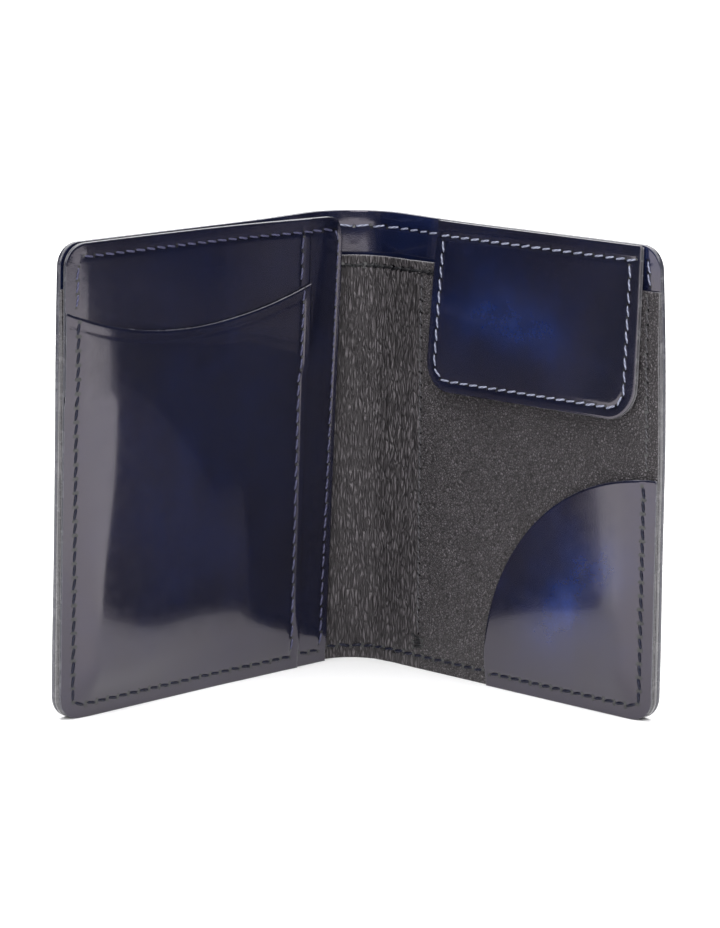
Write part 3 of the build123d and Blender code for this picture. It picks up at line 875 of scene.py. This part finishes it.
def on_leaf(height):
    """How far the pocket's edges sink below the end of the facing behind it, down to the leaf."""
    return (CARD_POCKET_BACK - LEAF_FACE - 0.05) * smooth((70.5 - height) / 4)


def card_lift(along, height):
    """The pocket's underside, on the facing above and on the leaf below."""
    return CARD_POCKET_BACK + flare(along, height) - on_leaf(height)


def leaf_tint(along, height):
    middle = np.exp(-(((along - 42) / 20) ** 2) - (((height - 50) / 34) ** 2))
    return 0.14 * middle + 0.05


def ride_on_leaf(piece):
    """Gives a leaf piece its own mesh and hangs it on the left panel."""
    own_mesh(piece)
    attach(piece, "left_panel")


def leaf_middle(along, height):
    return LEAF_MIDDLE + flare(along, height)


def make_leaf():
    outline = leaf_outline()
    backing = plate("leaf_backing_leather", LEFT, outline, lambda a, h: LEAF_BACK + flare(a, h),
                    leaf_middle, [flesh, grained, painted_grey], edge=0.2, spacing=1.5)
    finished(backing, "grain_leather", "leaf_backing")
    front = plate("leaf_front_leather", LEFT, outline, leaf_middle, leaf_front,
                  [polished, flesh, painted], edge=0.25, spacing=1.3, lines=LEAF_LINES,
                  burnish_and_sheen=leaf_tint)
    finished(front, "gloss_leather", "leaf_front")
    start = from_edge(CARD_POCKET_WIDTH)
    outline = rounded([(start, FACING_FOOT, 0), (PANEL_LENGTH, FACING_FOOT, 0),
                       (PANEL_LENGTH, HEIGHT, CORNER), (start, HEIGHT, 0)])
    facing = plate("card_facing_leather", LEFT, outline, lambda a, h: LEAF_FACE + flare(a, h),
                   card_facing_front, [polished, flesh, painted], edge=0.22, spacing=1.2,
                   lines=FACING_LINES, burnish_and_sheen=leaf_tint)
    finished(facing, "gloss_leather", "card_facing")
    pocket = plate("card_pocket_leather", LEFT, card_pocket_outline(), card_lift, card_pocket_front,
                   [polished, flesh, painted], edge=0.28, spacing=1.3,
                   lines=POCKET_LINES + [mouth_arc(CREASE_BELOW, 0.97)], burnish_and_sheen=leaf_tint)
    finished(pocket, "gloss_leather", "card_pocket")
    for piece in (backing, front, facing, pocket):
        ride_on_leaf(piece)


make_leaf()

# ---------------- the corner pocket

CORNER_POCKET_THICK = 0.8
CORNER_LINES = [seam_line(from_edge(45), 51)]


def corner_pocket_front(along, height):
    sewn = smooth((from_edge(SEAM_INSET) - along) / 4.5) * smooth((height - SEAM_INSET) / 7)
    belly = 1.1 * sewn * np.exp(-(((along - 77) / 24) ** 2) - (((height - 8) / 36) ** 2))
    return (corner_pocket_back(along, height) + CORNER_POCKET_THICK + belly
            - groove(along, height, CORNER_LINES, 0.24, 0.6))


def corner_pocket_back(along, height):
    return lining_front(along, height) + 0.04


def corner_pocket_outline():
    cx, cz = POCKET_CENTRE
    up = math.acos((PANEL_LENGTH - cx) / POCKET_RADIUS)
    down = math.pi + math.asin(cz / POCKET_RADIUS)
    arc = circle_arc(POCKET_CENTRE, POCKET_RADIUS, up, down)
    foot = rounded([(0, 0, 0), (PANEL_LENGTH, 0, CORNER), (PANEL_LENGTH, 30, 0)])[1:-1]
    return np.concatenate([foot, arc])


def corner_burnish_and_sheen(along, height):
    # Painted sheen: these blue patches on the corner pocket are partly burnished colour and partly
    # a painted sheen of light.
    broad = blue_patch(along, height, (56, 26), (19, 12), 50)
    painted_sheen = blue_patch(along, height, (57, 25), (14, 5), 47)
    return 0.42 * broad + 0.75 * painted_sheen + 0.05


def make_corner_pocket():
    piece = plate("corner_pocket_leather", RIGHT, corner_pocket_outline(), corner_pocket_back,
                  corner_pocket_front, [polished, flesh, painted], edge=0.25, spacing=1.2,
                  lines=CORNER_LINES, burnish_and_sheen=corner_burnish_and_sheen)
    finished(piece, "gloss_leather", "corner_pocket")
    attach(piece, "right_panel")


make_corner_pocket()

# ---------------- the flap

FLAP_BACK_THICK, FLAP_THICK = 0.6, 1.4


def flap_back(along, height):
    """It hangs straight from the top strip, over the lining's edge and outwards."""
    away = FACING_FACE + 0.15 + 0.101 * (HEIGHT - 1 - height)
    followed = mouth_opening(along, height) * smooth((height - 90) / 10)
    bow = 0.04 * waves(along, height, 61, 44) * smooth((FLAP_KNEE - height) / 8)
    return np.maximum(away, FACING_FACE + 0.05) - followed + bow


def flap_middle(along, height):
    return flap_back(along, height) + FLAP_BACK_THICK


def flap_row():
    radius, low, top = 4.4, FLAP_BOTTOM + 2.5, TOP_ROW - 1
    first, last = from_edge(FLAP_LAST - 2.3), from_edge(FLAP_FIRST + 2.6)
    return rounded([(first, top, 0), (first, low, radius), (last, low, radius), (last, top, 0)])


FLAP_ROOT_ROW = [(from_edge(FLAP_LAST - 1.2), TOP_ROW + 0.2),
                 (from_edge(FLAP_FIRST + 1.0), TOP_ROW + 0.2)]
FLAP_LINES = [flap_row(), FLAP_ROOT_ROW]


def flap_face(along, height):
    return flap_back(along, height) + FLAP_THICK - groove(along, height, FLAP_LINES, 0.15)


def flap_outline(top):
    radius, low = 7.0, FLAP_BOTTOM
    first, last = from_edge(FLAP_LAST), from_edge(FLAP_FIRST)
    return rounded([(first, top, 0), (first, low, radius), (last, low, radius), (last, top, 0)])


def flap_burnish_and_sheen(along, height):
    # Painted sheen: these blue patches on the flap are partly burnished colour and partly a painted
    # sheen of light.
    broad = blue_patch(along, height, (34, 85), (19, 11), -8)
    painted_sheen = blue_patch(along, height, (38, 81), (14, 4.5), -8)
    return 0.28 * broad + 0.50 * painted_sheen + 0.05


def bend_flap(piece):
    """Bakes the flap's transform into its mesh."""
    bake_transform(piece)


def make_flap():
    front = plate("flap_front_leather", RIGHT, flap_outline(HEIGHT), flap_middle, flap_face,
                  [polished, flesh, painted_grey], edge=0.25, spacing=1.1, lines=FLAP_LINES,
                  burnish_and_sheen=flap_burnish_and_sheen)
    finished(front, "gloss_leather", "flap_front", "flap_root")
    bend_flap(front)
    back = plate("flap_backing_leather", RIGHT, flap_outline(HEIGHT - 0.4), flap_back, flap_middle,
                 [flesh, grained, painted_grey], edge=0.2, spacing=1.4)
    finished(back, "grain_leather", "flap_backing")
    bend_flap(back)


make_flap()

# ---------------- thread

SLANT = 10.0


def row(*path, pitch=PITCH):
    return path, pitch, SLANT


def leaf_thread_face(along, height):
    """The leaf's own row runs on the card facing, and on the leaf itself past the facing's edge."""
    on_facing = along > from_edge(CARD_POCKET_WIDTH)
    return np.where(on_facing, card_facing_front(along, height), leaf_front(along, height))


def thread_piece(name, side, rows, surface, material, slot, nodes, body, outside=False):
    """Rows of stitches as one piece. body is the one that carries them, or says how they are
    treated: the fold and the flap_bend bake their transform, the leaf hangs them on the left panel."""
    thick = HEAVY_THREAD if material in (navy_thread, black_thread) else FINE_THREAD
    piece = finished(stitches(name, side, rows, surface, material, outside, thick), slot, *nodes)
    if body == "fold":
        across_fold(piece, side)
    elif body == "flap_bend":
        bend_flap(piece)
    elif body == "leaf":
        ride_on_leaf(piece)
    else:
        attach(piece, body)


def make_fold_threads(side, word):
    """The rows that cross the spine."""
    thread_piece(f"outside_stitches_{word}", side, [row(*path) for path in OUTER_ROWS], cover_back,
                 navy_thread, "navy_thread", [f"seam_threads_{word}", "seam_threads_spine"],
                 "fold", True)
    last, lining = SEAM_INSET, lining_front
    if side == RIGHT:
        last, lining = FLAP_LAST + 1.5, right_lining_front
    thread_piece(f"top_stitches_{word}", side, [row((-BEND, TOP_ROW), (from_edge(last), TOP_ROW))],
                 facing_front, pale_thread, "pale_thread",
                 [f"top_threads_{word}", "top_threads_spine"], "fold")
    thread_piece(f"lining_top_stitches_{word}", side,
                 [row((-BEND, LINING_ROW), (from_edge(5), LINING_ROW), pitch=PITCH * 0.9)],
                 lining, black_thread, "black_thread",
                 [f"lining_threads_{word}", "lining_threads_spine"], "fold")


def make_panel_threads():
    def foot(inset):
        return [row((-BEND, SEAM_INSET), (from_edge(inset), SEAM_INSET))]

    corner = row((from_edge(FLAP_FIRST - 0.5), TOP_ROW), (from_edge(SEAM_INSET), TOP_ROW - 0.8),
                 (from_edge(SEAM_INSET), LINING_TOP + 1))
    beside = row(*upright(SEAM_INSET, 54.5, LINING_TOP - 1))
    lining_seam = row(*upright(LINING_SEAM, 8.4, LINING_ROW - 1), pitch=PITCH * 0.9)
    tack = [([(from_edge(LINING_SEAM + 1.2), z), (from_edge(LINING_SEAM - 1.2), z)], 2.4, 14 * k)
            for k, z in ((1, 5.2), (-1, 5.9), (1, 6.6), (-1, 7.3))]
    pocket_side = row(*upright(CARD_SEAM, 4.4, MOUTH_END - 1))
    pocket = row(*seam_line(from_edge(CARD_SEAM), MOUTH_END - 2.2))
    facing = [row(*upright(CARD_SEAM, MOUTH_END + 0.5, HEIGHT - 3.6)),
              row(*upright(SEAM_INSET, MOUTH_END + 0.8, TOP_ROW - 1.5))]
    seam = "navy_thread", ["seam_threads_right"]
    lining = "black_thread", ["lining_threads_right"]
    leaf = "pale_thread", ["leaf_threads"]
    card = "navy_thread", ["card_threads"]
    panel = "right_panel"
    for args in (
        ("foot_stitches_right", RIGHT, foot(47.5), right_lining_front, navy_thread, *seam, "fold"),
        ("foot_stitches_left", LEFT, foot(LEAF_WIDTH + 1), lining_front, navy_thread,
         "navy_thread", ["seam_threads_left"], "fold"),
        ("facing_corner_stitches", RIGHT, [corner], facing_front, pale_thread, *seam, panel),
        ("side_stitches_right", RIGHT, [beside], right_lining_front, grey_thread, *seam, panel),
        ("corner_pocket_stitches", RIGHT, [row(*CORNER_LINES[0])], corner_pocket_front,
         navy_thread, *seam, panel),
        ("lining_seam_stitches", RIGHT, [lining_seam], right_lining_front, grey_thread, *lining,
         panel),
        ("lining_seam_tack", RIGHT, tack, right_lining_front, black_thread, *lining, panel),
        ("leaf_stitches", LEFT, [row(*leaf_row())], leaf_thread_face, dim_thread, *leaf, "leaf"),
        ("leaf_foot_stitches", LEFT, [row(*leaf_foot_row())], leaf_front, navy_thread, *leaf,
         "leaf"),
        ("card_pocket_side_stitches", LEFT, [pocket_side], card_pocket_front, dim_thread, *card,
         "leaf"),
        ("card_pocket_stitches", LEFT, [pocket], card_pocket_front, navy_thread,
         "navy_thread", ["card_threads", "seam_threads_left"], "leaf"),
        ("card_facing_stitches", LEFT, facing, card_facing_front, dim_thread, *card, "leaf"),
        ("flap_stitches", RIGHT, [row(*flap_row(), pitch=PITCH * 0.92)], flap_face, pale_thread,
         "pale_thread", ["flap_threads"], "flap_bend"),
        ("flap_root_stitches", RIGHT, [row(*FLAP_ROOT_ROW)], flap_face, pale_thread,
         "pale_thread", ["flap_root_threads"], panel),
    ):
        thread_piece(*args)


for side, word in SIDES:
    make_fold_threads(side, word)
make_panel_threads()

# ---------------- floor, light and camera


def make_floor():
    half_width, front, back = 0.48, -1.2, 3.6
    n = Nodes("pale_floor")
    mesh = bpy.data.meshes.new("floor")
    mesh.from_pydata([(-half_width, front, 0), (half_width, front, 0), (half_width, back, 0),
                      (-half_width, back, 0)], [], [(0, 1, 2, 3)])
    mesh.materials.append(n.set(Base_Color=(0.93, 0.93, 0.93, 1), Roughness=0.9,
                                Specular_IOR_Level=0.1))
    floor = bpy.data.objects.new("floor", mesh)
    bpy.context.collection.objects.link(floor)


def area_light(name, place, aim, size, power):
    data = bpy.data.lights.new(name, "AREA")
    data.shape = "RECTANGLE"
    data.size, data.size_y = size
    data.energy = power
    lamp = bpy.data.objects.new(name, data)
    lamp.location = place
    lamp.rotation_euler = (Vector(aim) - Vector(place)).to_track_quat("-Z", "Y").to_euler()
    bpy.context.collection.objects.link(lamp)


def make_lights():
    area_light("overhead_softbox", (0.0, 1.3, 1.6), (0, 1.3, 0), (2.4, 5.6), 150)
    area_light("front_softbox", (-0.25, -1.7, 1.0), (0, 0, 0.05), (1.2, 1.0), 24)
    world = bpy.data.worlds.new("studio")
    world.use_nodes = True
    sky = world.node_tree.nodes["Background"]
    sky.inputs["Color"].default_value = (0.9, 0.92, 1.0, 1)
    sky.inputs["Strength"].default_value = 0.12
    bpy.context.scene.world = world
    bpy.context.scene.view_settings.view_transform = "Standard"


def make_camera():
    """A long lens a little above the wallet, in front of its opening."""
    tall, lens_px = 928, 3583.1
    distance, elevation, roll = 7.609 * HEIGHT, 0.18926, 0.00877
    yaw, apex_seen = 0.0316, Vector((-0.01827, 0.35091, 0)) * HEIGHT
    lining_radius = OUTER_RADIUS - LINING_FACE
    apex = Vector((0, CENTRE_Y + lining_radius / math.cos(HALF_OPENING), 0))
    forward = Vector((0, math.cos(elevation), -math.sin(elevation)))
    right = Vector((1, 0, 0))
    up = right.cross(forward)
    place = Vector((0, 0, HEIGHT / 2)) - forward * distance
    tilted_right = right * math.cos(roll) + up * math.sin(roll)
    tilted_up = up * math.cos(roll) - right * math.sin(roll)
    turn = Matrix.Rotation(-yaw, 3, "Z")
    data = bpy.data.cameras.new("camera")
    data.sensor_width = 36
    data.lens = lens_px / tall * 36
    data.clip_start, data.clip_end = 0.01, 50
    camera = bpy.data.objects.new("camera", data)
    axes = [turn @ v for v in (tilted_right, tilted_up, -forward)]
    rotation = Matrix(axes).transposed()
    at = (turn @ (place - apex_seen) + apex) * MM
    camera.matrix_world = Matrix.Translation(at) @ rotation.to_4x4()
    bpy.context.collection.objects.link(camera)
    bpy.context.scene.camera = camera


make_floor()
make_lights()
make_camera()
